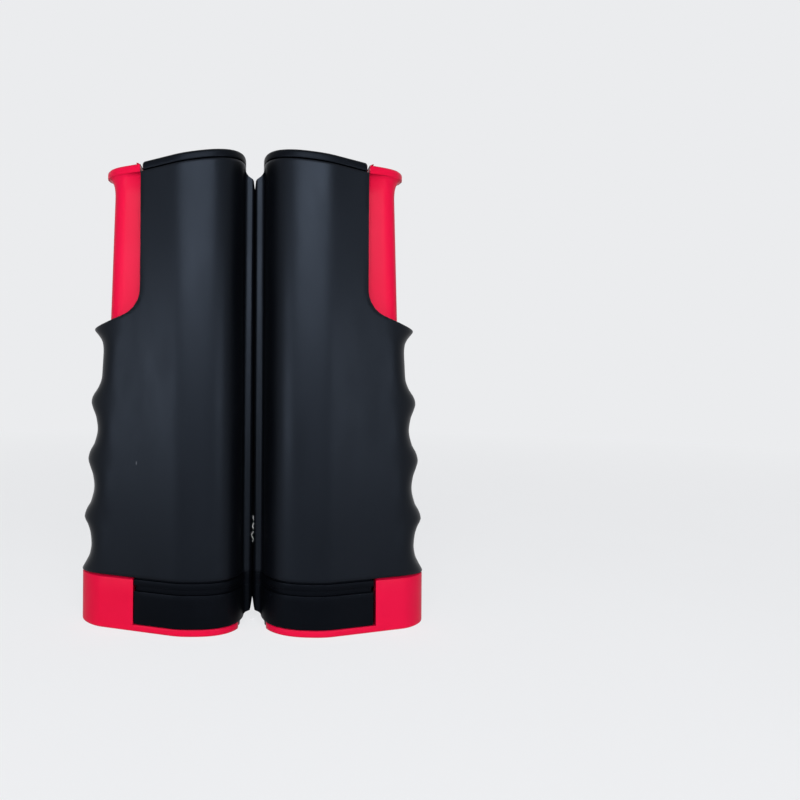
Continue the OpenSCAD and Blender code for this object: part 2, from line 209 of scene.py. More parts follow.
def sweptTube(name, points, radius, around, side, material):
    points = np.asarray(points, float)
    along = np.gradient(points, axis=0)
    along /= np.linalg.norm(along, axis=1)[:, None]
    up = np.array([0.0, 0.0, 1.0])
    rows = []
    for place, direction in zip(points, along):
        if abs(direction @ up) > 0.98:
            across = np.cross(direction, [1.0, 0.0, 0.0])
        else:
            across = np.cross(direction, up)
        across /= np.linalg.norm(across)
        rise = np.cross(across, direction)
        a = np.linspace(0, 2 * math.pi, around, endpoint=False)
        rows.append(place + radius * (np.outer(np.cos(a), across) + np.outer(np.sin(a), rise)))
    return meshPiece(name, *stacked(rows), side, material, 80)


def dress(piece, body, slot, *stoodFor):
    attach(piece, body)
    if stoodFor:
        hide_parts(*stoodFor)


def ramp(tree, source, low, high, start=0.3, end=0.7):
    node = tree.nodes.new("ShaderNodeMapRange")
    node.inputs["From Min"].default_value, node.inputs["From Max"].default_value = start, end
    node.inputs["To Min"].default_value, node.inputs["To Max"].default_value = low, high
    tree.links.new(source, node.inputs["Value"])
    return node.outputs["Result"]


def noise(tree, scale, detail=2.0, stretch=(1, 1, 1)):
    coords = tree.nodes.new("ShaderNodeTexCoord")
    mapping = tree.nodes.new("ShaderNodeMapping")
    mapping.inputs["Scale"].default_value = stretch
    texture = tree.nodes.new("ShaderNodeTexNoise")
    texture.inputs["Scale"].default_value = scale
    texture.inputs["Detail"].default_value = detail
    tree.links.new(coords.outputs["Object"], mapping.inputs["Vector"])
    tree.links.new(mapping.outputs["Vector"], texture.inputs["Vector"])
    return texture.outputs["Fac"]


def blendColour(tree, factor, first, second):
    node = tree.nodes.new("ShaderNodeMix")
    node.data_type = "RGBA"
    node.inputs["A"].default_value = (*first, 1)
    node.inputs["B"].default_value = (*second, 1)
    tree.links.new(factor, node.inputs["Factor"])
    return node.outputs["Result"]


fleck = {"stretch": (1, 1, 0.35), "strength": 0.5, "reach": 0.035, "colour": (0.16, 0.17, 0.19)}


def finish(name, look):  # one procedural finish: mottled colour, varied roughness and a fine surface grain
    material = bpy.data.materials.new(name)
    material.use_nodes = True
    tree = material.node_tree
    shader = tree.nodes["Principled BSDF"]
    shader.inputs["Specular IOR Level"].default_value = look.get("specular", 0.5)
    shader.inputs["Specular Tint"].default_value = (*look.get("specularTint", (1, 1, 1)), 1)
    shader.inputs["Metallic"].default_value = look.get("metal", 0.0)
    if "sheen" in look:
        shader.inputs["Sheen Weight"].default_value = look["sheen"]
    stretch = look.get("stretch", (1, 1, 1))
    patches = noise(tree, look["patchScale"], 3.0, stretch)
    colour = blendColour(tree, ramp(tree, patches, 0, 1), look["colour"], look["tint"])
    if "flecks" in look:  # tiny pale dust marks and scratches
        dots = tree.nodes.new("ShaderNodeTexVoronoi")
        dots.inputs["Scale"].default_value = look["flecks"]
        coords = tree.nodes.new("ShaderNodeTexCoord")
        squeeze = tree.nodes.new("ShaderNodeMapping")
        squeeze.inputs["Scale"].default_value = fleck["stretch"]
        tree.links.new(coords.outputs["Object"], squeeze.inputs["Vector"])
        tree.links.new(squeeze.outputs["Vector"], dots.inputs["Vector"])
        near = ramp(tree, dots.outputs["Distance"], fleck["strength"], 0.0, 0.0, fleck["reach"])
        mix = tree.nodes.new("ShaderNodeMix")
        mix.data_type = "RGBA"
        mix.inputs["B"].default_value = (*fleck["colour"], 1)
        tree.links.new(near, mix.inputs["Factor"])
        tree.links.new(colour, mix.inputs["A"])
        colour = mix.outputs["Result"]
    tree.links.new(colour, shader.inputs["Base Color"])
    rub = noise(tree, look["patchScale"] * 2.3, 4.0, stretch)
    tree.links.new(ramp(tree, rub, *look["roughness"]), shader.inputs["Roughness"])
    bump = tree.nodes.new("ShaderNodeBump")
    bump.inputs["Strength"].default_value = look["grainStrength"]
    bump.inputs["Distance"].default_value = look.get("grainDepth", 0.0001)
    tree.links.new(noise(tree, look["grainScale"], 2.0, stretch), bump.inputs["Height"])
    tree.links.new(bump.outputs["Normal"], shader.inputs["Normal"])
    return material


print("mixing the finishes")
finishes = {
    "blackShell": {
        "colour": (0.0009, 0.0011, 0.0017), "tint": (0.0014, 0.0017, 0.0026), "patchScale": 30,
        "stretch": (1, 1, 0.3), "roughness": (0.33, 0.44), "grainScale": 2200, "grainStrength": 0.12,
        "specular": 0.15, "specularTint": (0.62, 0.76, 1.0), "flecks": 95,
    },
    "blackTrim": {
        "colour": (0.0009, 0.0011, 0.0017), "tint": (0.0014, 0.0017, 0.0026), "patchScale": 34,
        "roughness": (0.36, 0.46), "grainScale": 2200, "grainStrength": 0.12,
        "specular": 0.075, "specularTint": (0.62, 0.76, 1.0),
    },
    "redPlastic": {
        "colour": (0.52, 0.0033, 0.030), "tint": (0.567, 0.0043, 0.039), "patchScale": 22,
        "roughness": (0.30, 0.40), "grainScale": 1800, "grainStrength": 0.05, "specular": 0.05,
    },
    "padRubber": {
        "colour": (0.030, 0.030, 0.032), "tint": (0.045, 0.045, 0.046), "patchScale": 60,
        "roughness": (0.72, 0.88), "grainScale": 1500, "grainStrength": 0.5, "grainDepth": 0.0003,
    },
    "springSteel": {
        "colour": (0.50, 0.51, 0.53), "tint": (0.62, 0.62, 0.63), "patchScale": 300,
        "roughness": (0.22, 0.36), "grainScale": 2400, "grainStrength": 0.1, "metal": 1.0,
    },
    "axleSteel": {
        "colour": (0.48, 0.49, 0.50), "tint": (0.58, 0.58, 0.58), "patchScale": 160, "stretch": (1, 1, 8),
        "roughness": (0.25, 0.38), "grainScale": 900, "grainStrength": 0.1, "metal": 1.0,
    },
    "screwSteel": {
        "colour": (0.36, 0.37, 0.39), "tint": (0.48, 0.48, 0.49), "patchScale": 500,
        "roughness": (0.28, 0.42), "grainScale": 3000, "grainStrength": 0.15, "metal": 1.0,
    },
    "reelPlastic": {
        "colour": (0.60, 0.60, 0.56), "tint": (0.68, 0.68, 0.64), "patchScale": 70,
        "roughness": (0.40, 0.52), "grainScale": 1600, "grainStrength": 0.15,
    },
    "bushPlastic": {
        "colour": (0.70, 0.67, 0.60), "tint": (0.78, 0.75, 0.68), "patchScale": 90,
        "roughness": (0.34, 0.46), "grainScale": 1600, "grainStrength": 0.1,
    },
    "netTwine": {
        "colour": (0.012, 0.022, 0.020), "tint": (0.022, 0.036, 0.032), "patchScale": 400,
        "roughness": (0.75, 0.9), "grainScale": 5000, "grainStrength": 0.7, "grainDepth": 0.0003,
        "sheen": 0.2,
    },
    "netTape": {
        "colour": (0.66, 0.67, 0.68), "tint": (0.76, 0.76, 0.76), "patchScale": 220,
        "roughness": (0.7, 0.85), "grainScale": 4000, "grainStrength": 0.6, "grainDepth": 0.0003,
        "sheen": 0.2,
    },
}
# painted shade: a copy of the trim's black with weaker reflection, so that the base block reads darker than
# the cap
finishes["blackBase"] = {**finishes["blackTrim"], "specular": 0.045}
made = {name: finish(name, look) for name, look in finishes.items()}
spare = made["blackTrim"]  # for the cutters

# what every part of a post shares
post = {
    "reelX": 25.9, "fullness": 2.6, "crest": 197.2, "slant": math.tan(math.radians(8)),
    "rollerR": 22.1, "flank": 0.3189,  # a flank is the sine of its inward turn
    "jawR": 22.4, "jawFlank": 0.3153, "jawReach": 72.4,
    "jawBand": 10, "jawBlunt": 4.2,  # the length of the soft outer end, and half the width of its flat
    "shoulder": 0.45,  # how full the soft outer end is, as a share of its length
    "roundSteps": 26, "flankSteps": 12, "endSteps": 19,
    "capThick": 3.5, "capGap": 0.4, "wallX": 46.4,
    "stemLean": math.tan(math.radians(1.7)), "stemZ": 182.0,  # a stem's reach is given at stemZ
    "lipDepth": 1.75,  # how much deeper than wide the rounding of a lip's edge is
    "lipY": 10,  # a lip and its hollow lie within this of the middle
    "seamTouch": 0.01,  # points as near as this to the seam stay on it
}


def topAt(x):  # the slanted top of the cap
    return post["crest"] - post["slant"] * x


def underCap(x):  # the top of the housing
    return topAt(x) - post["capThick"] - post["capGap"]


def fuller(a):  # the round side stands out a little past a circle between its front line and its lip
    power = post["fullness"]
    stretch = (np.abs(np.cos(a)) ** power + np.abs(np.sin(a)) ** power) ** (-1 / power)
    return np.where(a > math.pi / 2, stretch, 1.0)


def dropHalf(radius, flank, reach, band, blunt, first=180.0):
    # back half of a drop-shaped plan: round side, straight flank, and a soft outer end
    cosFlank = math.sqrt(1 - flank * flank)
    a = np.radians(np.linspace(first, math.degrees(math.acos(flank)), post["roundSteps"]))
    radii = radius * fuller(a)
    arc = np.column_stack([post["reelX"] + radii * np.cos(a), radii * np.sin(a)])
    bandX = reach - band
    start = np.array([bandX, (radius - flank * (bandX - post["reelX"])) / cosFlank])
    t = np.linspace(0, 1, post["flankSteps"])[1:, None]
    straight = arc[-1] + (start - arc[-1]) * t
    p1 = start + band * post["shoulder"] * np.array([cosFlank, -flank])
    p2, p3 = np.array([reach, blunt]), np.array([reach, 0.0])
    t = np.linspace(0, 1, post["endSteps"])[1:, None]
    end = start * (1 - t) ** 3 + 3 * p1 * t * (1 - t) ** 2 + 3 * p2 * t * t * (1 - t) + p3 * t**3
    end[-1, 1] = 0
    return np.vstack([arc, straight, end])


def roundPoint(radius, a):
    r = radius * fuller(np.array(a))
    return np.array([post["reelX"] + r * math.cos(a), r * math.sin(a)])


def lippedHalf(radius, flank, reach, band, blunt, lip, rounding):
    # the same plan with the lip of the net slot on its round side
    half, fillet = lip["half"], lip["fillet"]
    depth = rounding * post["lipDepth"]
    low, high = math.pi * 0.75, math.pi  # halved down to where the lip's hollow touches the round side
    for _ in range(40):
        touch = (low + high) / 2
        ahead = roundPoint(radius, touch - 1e-4) - roundPoint(radius, touch + 1e-4)
        normal = np.array([-ahead[1], ahead[0]]) / np.hypot(*ahead)
        centre = roundPoint(radius, touch) + fillet * normal
        low, high = (touch, high) if centre[1] > half + fillet else (low, touch)
    face = [[0.0, y] for y in np.linspace(0, half - depth, 4)]
    a = np.radians(np.linspace(180, 90, 10)[1:])
    corner = np.column_stack([rounding + rounding * np.cos(a), half - depth + depth * np.sin(a)])
    level = [[x, half] for x in np.linspace(rounding, centre[0], 4)[1:]]
    a = np.linspace(-math.pi / 2, math.atan2(-normal[1], -normal[0]), 8)[1:]
    hollow = np.column_stack([centre[0] + fillet * np.cos(a), centre[1] + fillet * np.sin(a)])
    drop = dropHalf(radius, flank, reach, band, blunt, math.degrees(touch))
    return np.vstack([face, corner, level, hollow, drop[1:]])


def lipHeld(loop, radius, lipX):  # where the lip ends, its points fall back to the round side
    power = post["fullness"]
    y = np.abs(loop[:, 1])
    near = (loop[:, 0] < post["reelX"] / 2) & (y < post["lipY"])
    roundSide = post["reelX"] - radius * np.maximum(1 - (y / radius) ** power, 0) ** (1 / power)
    held = np.minimum(np.maximum(loop[:, 0], lipX), roundSide)
    loop[:, 0] = np.where(near, held, loop[:, 0])
    return loop


def drawnBesideSeam(loop, inset):  # drawn in, but not where the two posts touch
    drawn = drawnIn(loop, inset)
    drawn[:, 0] = np.where(loop[:, 0] < post["seamTouch"], loop[:, 0], drawn[:, 0])
    return drawn


housing = {
    "foot": 21.9, "footRows": [(21.9, 0.4), (21.98, 0.14), (22.25, 0.0)],  # height and inset
    "topZ": 192.4, "topRows": [(0.3, 0.0), (0.08, 0.12), (0.0, 0.38)],  # depth and inset
    "tiltFrom": 150, "tiltX": 4.4,  # rows above tiltFrom tilt about the line at tiltX
    "lip": {"half": 6.2, "fillet": 1.8},
    # the seam's edges are rounder further down: their rounding at a height, and its growth over a length
    "rounding": 1.3, "roundingZ": 185, "growth": 0.6, "growthRun": 160,
    # where the lips end at the top: height, and how far they stand back from the seam
    "lipEnd": [(182.4, 0.0), (184.0, 0.22), (185.6, 0.42), (186.2, 0.8), (186.6, 1.35), (187.2, 2.1),
               (187.9, 2.8), (188.8, 3.4), (190.0, 3.95), (191.4, 4.35), (192.9, 4.8)],
    # silhouette of the grip: height and reach, from the foot up to the horn's tip
    "grip": [(21.9, 72.6), (23.2, 71.9), (25.5, 70.6), (28.6, 69.15), (32.8, 68.45), (37.2, 68.9),
             (40.8, 70.1), (44.0, 71.75), (46.8, 71.0), (50.8, 68.8), (57.3, 67.4), (62.0, 68.1),
             (65.6, 69.5), (68.5, 70.3), (71.5, 69.6), (75.6, 67.4), (81.4, 66.1), (86.4, 66.9),
             (89.8, 68.3), (92.6, 69.1), (94.9, 68.6), (97.2, 67.1), (99.6, 65.6), (103.0, 64.4),
             (109.0, 64.0), (114.6, 63.75), (117.4, 64.1), (119.4, 65.0), (121.2, 66.4), (122.6, 67.6),
             (123.2, 67.85), (123.8, 67.7)],
    "ridgeFoot": 73.1, "ridgeLean": 0.0463, "band": 15.0, "blunt": 7.0, "bluntGrowth": 0.9, "wallSoft": 0.9,
    "tip": 123.8, "tipReach": 67.8, "hornFall": math.radians(20),
    "arcX": 58.0, "arcZ": 139.6, "arcR": 11.6,
    "cavityR": 19.3, "cavityZ": (28.9, 179.0), "slotX": (-2, 9), "slotY": (-1.2, 1.2),
    "channel": {"half": 9.95, "reach": 59.25, "corner": 6.45}, "channelZ": (15.0, 210.0),
    "wells": [(12, 25.6), (40, 25.6), (12, 184), (39, 182)],  # x and z of the screws from the back
    "wellR": 2.6, "wellFloor": 6.0, "wellMouth": 24.0,
    "parting": 0.05,  # how far each shell stands back from y = 0
}


def endWall(z):  # how far out the housing goes above the horn: a slope, an arc and an upright wall
    if z <= housing["tip"]:
        return math.inf
    fall = housing["hornFall"]
    runX = housing["arcX"] - housing["arcR"] * math.sin(fall)
    runZ = housing["arcZ"] - housing["arcR"] * math.cos(fall)
    if z < runZ:
        return runX + (runZ - z) / math.tan(fall)
    if z < housing["arcZ"]:
        return housing["arcX"] - math.sqrt(housing["arcR"] ** 2 - (housing["arcZ"] - z) ** 2)
    return post["wallX"]


def housingLoop(z):
    reach = smoothThrough(housing["grip"], z) if z < housing["tip"] else housing["tipReach"]
    ridge = housing["ridgeFoot"] - housing["ridgeLean"] * (z - housing["foot"])
    blunt = housing["blunt"] + housing["bluntGrowth"] * max(ridge - reach, 0)
    band = housing["band"] - (ridge - reach)
    rounding = housing["rounding"] + housing["growth"] * (housing["roundingZ"] - z) / housing["growthRun"]
    half = lippedHalf(post["rollerR"], post["flank"], reach, band, blunt, housing["lip"], rounding)
    half[:, 0] = softLess(half[:, 0], endWall(z), housing["wallSoft"])
    return lipHeld(wholeLoop(half), post["rollerR"], smoothThrough(housing["lipEnd"], z))


def stemBend(look, z, steps):  # the stem's reach at a height, and the rounding of its outer corner
    outer = look["reach"] + (post["stemZ"] - z) * post["stemLean"]
    half, corner = look["half"], look["corner"]
    a = np.radians(np.linspace(90, 0, steps))
    return outer, np.column_stack([outer - corner + corner * np.cos(a), half - corner + corner * np.sin(a)])


def stemLoop(look, innerX, z):  # plan of the channel for the slider's stem, or of the hollow in the stem
    outer, bend = stemBend(look, z, 9)
    inner = [[innerX, y] for y in (0, look["half"] * 0.5, look["half"])]
    return wholeLoop(np.vstack([inner, bend, [[outer, 0]]]))


def buildHousing(side):
    tip = housing["tip"]  # the rows go up the grip, over the horn, round the arc and up to the lips' ends
    heights = [*np.arange(23.2, 116, 1.3), *np.arange(116.5, tip - 0.5, 0.6)]
    heights += [tip - 0.4, tip - 0.2, tip - 0.05]
    heights += [tip + up for up in (0.1, 0.25, 0.5, 0.9, 1.4, 2.0, 2.7, 3.4, 4.1)]
    heights += [housing["arcZ"] - housing["arcR"] * math.cos(math.radians(a)) for a in range(21, 90, 7)]
    heights += [*np.arange(142, 182, 4.2), *[z for z, _ in housing["lipEnd"][:-1]], 191.6]
    rows = [atHeight(drawnBesideSeam(housingLoop(z), inset), z) for z, inset in housing["footRows"]]
    tiltFrom, seamTop = housing["tiltFrom"], underCap(housing["tiltX"])
    for z in heights:
        loop = housingLoop(z)
        if z > tiltFrom:  # the upper rows tilt gradually to the slant of the top
            local = underCap(loop[:, 0])
            rows.append(atHeight(loop, tiltFrom + (z - tiltFrom) * (local - tiltFrom) / (seamTop - tiltFrom)))
        else:
            rows.append(atHeight(loop, z))
    for depth, inset in housing["topRows"]:
        loop = drawnIn(housingLoop(housing["topZ"]), inset)
        rows.append(atHeight(loop, underCap(loop[:, 0]) - depth))
    body = meshPiece("housing", *stacked(rows), side, made["blackShell"])
    profile = [(housing["cavityR"], z) for z in housing["cavityZ"]]
    cutters = [
        turned("cavity", (post["reelX"], 0, 0), profile, side, spare, 64),
        block(housing["slotX"], housing["slotY"], housing["cavityZ"], side),
    ]
    rows = [atHeight(stemLoop(housing["channel"], post["wallX"], z), z) for z in housing["channelZ"]]
    cutters.append(meshPiece("channel", *stacked(rows), side, spare))
    profile = [(housing["wellR"], y) for y in (housing["wellFloor"], housing["wellMouth"])]
    for x, z in housing["wells"]:
        cutters.append(turned("well", (x, 0, z), profile, side, spare, 28, "y"))
    for cutter in cutters:
        carve(body, cutter)
        bpy.data.objects.remove(cutter)
    return body


def splitShell(body, name, way):  # one half of the housing: what lies past the parting line is cut away
    shell = body.copy()
    shell.data = body.data.copy()
    shell.name = shell.data.name = name
    scene.collection.objects.link(shell)
    shape = bmesh.new()
    shape.from_mesh(shell.data)
    parting = bmesh.ops.bisect_plane(
        shape, geom=[*shape.verts, *shape.edges, *shape.faces], dist=1e-7,
        plane_co=(0, -way * housing["parting"] * mm, 0), plane_no=(0, way, 0), clear_outer=True)
    rim = [part for part in parting["geom_cut"] if isinstance(part, bmesh.types.BMEdge)]
    bmesh.ops.triangle_fill(shape, use_beauty=True, edges=rim, normal=(0, way, 0))
    bmesh.ops.recalc_face_normals(shape, faces=shape.faces)
    shape.to_mesh(shell.data)
    shape.free()
    softShade(shell, 32)
    return shell


print("building the housings")
whole = buildHousing(-1)
for part, way in (("front_shell", 1), ("back_shell", -1)):
    shell = splitShell(whole, f"left_{part}_moulding", way)
    twin = mirrored(f"right_{part}_moulding", shell)
    softShade(twin, 32)
    dress(shell, "left_post", "black_shell", f"left_{part}")
    dress(twin, "right_post", "black_shell", f"right_{part}")
bpy.data.objects.remove(whole)

cap = {
    "reach": 68, "band": 12, "blunt": 7, "cut": 45.6, "cutSoft": 1.2,
    # depth below the top and inset, from the plug under the cap up to the crown
    "rows": [(4.0, 3.2), (3.55, 3.2), (3.5, 0.3), (3.35, 0.06), (3.1, 0.0), (1.35, 0.0), (0.95, 0.07),
             (0.55, 0.3), (0.25, 0.68), (0.07, 1.2), (0.0, 1.9)],
}


def buildCap(side):
    half = dropHalf(post["rollerR"], post["flank"], cap["reach"], cap["band"], cap["blunt"])
    half[:, 0] = softLess(half[:, 0], cap["cut"], cap["cutSoft"])
    rows = []
    for depth, inset in cap["rows"]:
        loop = drawnIn(wholeLoop(half), inset)
        rows.append(atHeight(loop, topAt(loop[:, 0]) - depth))
    return meshPiece("cap", *stacked(rows), side, made["blackTrim"])


base = {
    "lip": {"half": 5.8, "fillet": 1.8}, "rounding": 1.9,
    "cut": {-1: 48.0, 1: 49.5}, "cutSoft": 0.5,  # where the block ends, on the left and on the right post
    # edge of the nose by height: a hollow arch over the table's edge, which narrows to the seam
    "nose": [(3.1, 4.56), (3.6, 4.24), (4.0, 3.91), (4.4, 3.5), (4.8, 2.99), (5.1, 2.48), (5.3, 2.04),
             (5.5, 1.41), (5.6, 1.05), (6.1, 0.85), (6.9, 0.65), (7.8, 0.5), (9.0, 0.3), (10.5, 0.0)],
    # height and inset, from the underside up: jaw, groove, ring band and neck
    "rows": [(3.1, 0.4), (3.16, 0.2), (3.26, 0.08),
             *[(z, 0.0) for z in (3.5, 3.8, 4.1, 4.4, 4.6, 4.8, 4.95, 5.1, 5.2, 5.3, 5.4, 5.5, 5.55, 5.6,
                                  5.8, 6.1, 6.9, 7.8, 9.0, 10.5, 14.0, 16.2)],
             (16.48, 0.08), (16.6, 0.3), (16.62, 1.1), (18.78, 1.1), (18.8, 0.25), (18.92, 0.07), (19.2, 0.0),
             (20.9, 0.0), (21.2, 0.08), (21.3, 0.3), (21.32, 1.1), (21.95, 1.1)],
    "lipX": 3.0, "lipShare": 0.12,  # the lip takes this share of an inset, and more of it past lipX
}


def buildBase(side):
    half = lippedHalf(post["jawR"], post["jawFlank"], post["jawReach"], post["jawBand"], post["jawBlunt"],
                      base["lip"], base["rounding"])
    half[:, 0] = softLess(half[:, 0], base["cut"][side], base["cutSoft"])
    rows = []
    for z, inset in base["rows"]:
        loop = lipHeld(wholeLoop(half), post["jawR"], smoothThrough(base["nose"], z))
        share = np.clip((loop[:, 0] - base["lipX"]) / base["lipX"], base["lipShare"], 1)
        rows.append(atHeight(drawnBesideSeam(loop, inset * share), z))
    # the base block wears the shaded copy of the trim, which paints shade on it
    return meshPiece("base", *stacked(rows), side, made["blackBase"])


pad = {
    "reach": 65, "inset": 3.1, "cut": 44.9, "cutSoft": 1.5, "upper": (3.0, 5.1), "lower": (1.9, 2.98),
    "edge": [(0, 0.35), (0.06, 0.12), (0.3, 0)],  # distance from the pad's face and inset
    # the lower pad's nose: height and inset, the plate's cut end behind it and the arch that it continues
    "noseRows": [(0.5, 0.25), (0.6, 0.07), (0.8, 0), (1.2, 0), (1.7, 0), (2.2, 0), (2.68, 0), (2.92, 0.07),
                 (2.98, 0.25)],
    "noseEnd": 5.7, "archX": 0.2, "archZ": 0.65, "archR": 5.0,
    "rimGap": 0.1, "sideGap": 0.2,  # how far the nose stands back from the jaw's round side
    "bridge": ((5.4, 8.0), (-7.0, 7.0), (2.0, 2.98)),  # joins the nose to the pad: x, y and z
}


def buildPad(side, low, high):
    half = dropHalf(post["jawR"] - pad["inset"], post["jawFlank"], pad["reach"], post["jawBand"],
                    post["jawBlunt"])
    half[:, 0] = softLess(half[:, 0], pad["cut"], pad["cutSoft"])
    rows = [atHeight(drawnIn(wholeLoop(half), inset), low + up) for up, inset in pad["edge"]]
    rows += [atHeight(drawnIn(wholeLoop(half), inset), high - down) for down, inset in pad["edge"][::-1]]
    return meshPiece("pad", *stacked(rows), side, made["padRubber"])


def buildPadNose(side):  # the lower pad is drawn over the plate's inner end
    reelX, jawR, endX = post["reelX"], post["jawR"], pad["noseEnd"]
    rows = []
    for z, inset in pad["noseRows"]:
        inner = pad["archX"] + math.sqrt(pad["archR"] ** 2 - (z - pad["archZ"]) ** 2) + inset
        reachY = math.sqrt(jawR**2 - (reelX - endX) ** 2) - pad["sideGap"] - inset
        y = reachY * np.sin(np.linspace(-math.pi / 2, math.pi / 2, 25))
        edge = np.maximum(inner, reelX - np.sqrt(jawR**2 - y**2) + pad["rimGap"] + inset)
        loop = np.vstack([np.column_stack([edge, y]), [[endX, reachY], [endX, -reachY]]])
        rows.append(atHeight(loop, z))
    nose = meshPiece("nose", *stacked(rows), side, made["padRubber"])
    bridge = block(*pad["bridge"], side)
    bridge.data.materials[0] = made["padRubber"]
    return [nose, bridge]


print("building the caps, bases and pads")
for sideName, side in sides.items():
    for build, part in ((buildCap, "top_cap"), (buildBase, "base_block")):
        piece = build(side)
        piece.name = f"{sideName}_{part}_moulding"
        dress(piece, f"{sideName}_post", "black_trim", f"{sideName}_{part}")
    for part, body, extra in (("upper", "post", []), ("lower", "jaw", buildPadNose(side))):
        piece = merged(f"{sideName}_{part}_grip_pad", [buildPad(side, *pad[part]), *extra])
        softShade(piece, 32)
        dress(piece, f"{sideName}_{body}", "pad_rubber", f"{sideName}_{part}_pad")

slider = {
    "webX": {-1: 48.4, 1: 50.3},  # where the web starts, on the left and on the right post
    "webSoft": 0.5, "webFade": 2, "plateEnd": 5.75, "plateSoft": 0.4, "plateUpper": 2,
    # height and inset of the plate of the lower jaw, and of the web behind the base block
    "plateRows": [(0.0, 1.2), (0.05, 0.8), (0.2, 0.45), (0.45, 0.2), (0.75, 0.06), (1.1, 0.0), (2.6, 0.0),
                  (2.82, 0.08), (2.9, 0.3)],
    "webRows": [(2.91, 0.0), (8, 0.0), (14, 0.0), (20.7, 0.0), (21.05, 0.1), (21.2, 0.4)],
    "stem": {"half": 9.5, "reach": 58.8, "corner": 6.0}, "inner": 46.9,
    # height and inner face of the stem, which is thinner lower down
    "stemRows": [(12.0, 50.3), (69.9, 50.3), (70.2, 46.9), (125.0, 46.9), (150.0, 46.9), (170.0, 46.9)],
    # edge of the palm flange, and its rows: height above the underside and inset
    "flange": [(46.9, 14.3), (49.4, 13.0), (52.5, 11.4), (55.5, 9.7), (58.2, 7.8), (60.4, 5.5), (61.9, 3.0),
               (62.65, 1.3), (62.9, 0.0)],
    "flangeRows": [(0.05, 0.2), (0.25, 0.04), (0.6, 0.0), (2.1, 0.0), (2.7, 0.06), (3.15, 0.26), (3.5, 0.66),
                   (3.66, 1.15), (3.7, 1.7)],
    "flangeUnder": 187.1, "flareLow": 178.2, "flareShare": 0.93,
    "hollow": {"half": 7.8, "reach": 57.1, "corner": 4.3},
    "hollowX": 44.0, "hollowZ": (52.0, 181.6),
}


def buildJaw(side):
    jawR, flank, webX = post["jawR"], post["jawFlank"], slider["webX"][side]
    half = dropHalf(jawR, flank, post["jawReach"], post["jawBand"], post["jawBlunt"])
    rows = []
    for z, inset in slider["plateRows"]:
        loop = wholeLoop(half)
        # the upper edge isn't rounded where the web rises from the plate
        share = np.clip((webX - loop[:, 0]) / slider["webFade"], 0, 1) if z > slider["plateUpper"] else 1.0
        loop = drawnIn(loop, inset * share)
        loop[:, 0] = -softLess(-loop[:, 0], -slider["plateEnd"], slider["plateSoft"])
        rows.append(atHeight(loop, z))
    for z, inset in slider["webRows"]:
        loop = drawnIn(wholeLoop(half), inset)
        loop[:, 0] = -softLess(-loop[:, 0], -(webX + inset), slider["webSoft"])
        cutY = (jawR - flank * (webX - post["reelX"])) / math.sqrt(1 - flank**2)
        # the web's cut corners stay on the flank
        limit = np.sign(loop[:, 1]) * np.minimum(np.abs(loop[:, 1]), cutY - inset)
        loop[:, 1] = np.where(loop[:, 0] < webX + 1, limit, loop[:, 1])
        rows.append(atHeight(loop, z))
    return meshPiece("jaw", *stacked(rows), side, made["redPlastic"])


def alongLine(points, count):  # evenly spaced places on a smooth line through the points
    line = curveThrough([(*p, 0) for p in points], 12)[:, :2]
    walked = np.concatenate([[0], np.cumsum(np.hypot(*np.diff(line, axis=0).T))])
    at = np.linspace(0, walked[-1], count)
    return np.column_stack([np.interp(at, walked, line[:, 0]), np.interp(at, walked, line[:, 1])])


def flangeHalf(count):  # half plan of the palm flange, with as many points as the stem's
    x0, y0 = slider["flange"][0]
    edge = alongLine(slider["flange"], count - 2)
    edge[-1, 1] = 0
    return np.vstack([[[x0, 0], [x0, y0 * 0.5]], edge])


def stemHalf(look, innerX, z):  # half plan of the stem
    outer, bend = stemBend(look, z, 15)
    half, corner = look["half"], look["corner"]
    flat = np.linspace((innerX, half), (outer - corner, half), 5)[:-1]
    return np.vstack([[[innerX, 0], [innerX, half * 0.5]], flat, bend,
                      [[outer, (half - corner) * 0.5], [outer, 0]]])


def buildStem(side):
    stem, inner = slider["stem"], slider["inner"]
    rows = [atHeight(wholeLoop(stemHalf(stem, innerX, z)), z) for z, innerX in slider["stemRows"]]
    low, under = slider["flareLow"], slider["flangeUnder"]
    plan = flangeHalf(len(stemHalf(stem, inner, low)))
    for a in range(0, 91, 9):  # the stem flares out under the flange, up to a soft crease
        z = low + (under - low) * math.sin(math.radians(a))
        half = stemHalf(stem, inner, z)
        spread = slider["flareShare"] * (1 - math.cos(math.radians(a)))
        rows.append(atHeight(wholeLoop(half + (np.maximum(plan, half) - half) * spread), z))
    for up, inset in slider["flangeRows"]:
        rows.append(atHeight(drawnIn(wholeLoop(plan), inset), under + up))
    body = meshPiece("stem", *stacked(rows), side, made["redPlastic"])
    rows = [atHeight(stemLoop(slider["hollow"], slider["hollowX"], z), z) for z in slider["hollowZ"]]
    cutter = meshPiece("hollow", *stacked(rows), side, spare)
    carve(body, cutter)
    bpy.data.objects.remove(cutter)
    return body


print("building the sliders")
for sideName, side in sides.items():
    piece = merged(f"{sideName}_slider_moulding", [buildJaw(side), buildStem(side)])
    softShade(piece, 30)
    dress(piece, f"{sideName}_jaw", "red_plastic", f"{sideName}_slider")

springs = {
    "clamp": {"x": 51.7, "low": 60.7, "high": 181.0, "radius": 4.2, "wire": 1.3, "turns": 15},
    "reel": {"x": post["reelX"], "low": 47.0, "high": 149.0, "radius": 5.1, "wire": 1.0, "turns": 18},
    "endGap": 0.5,  # between the last turns, where the coil is nearly closed
}


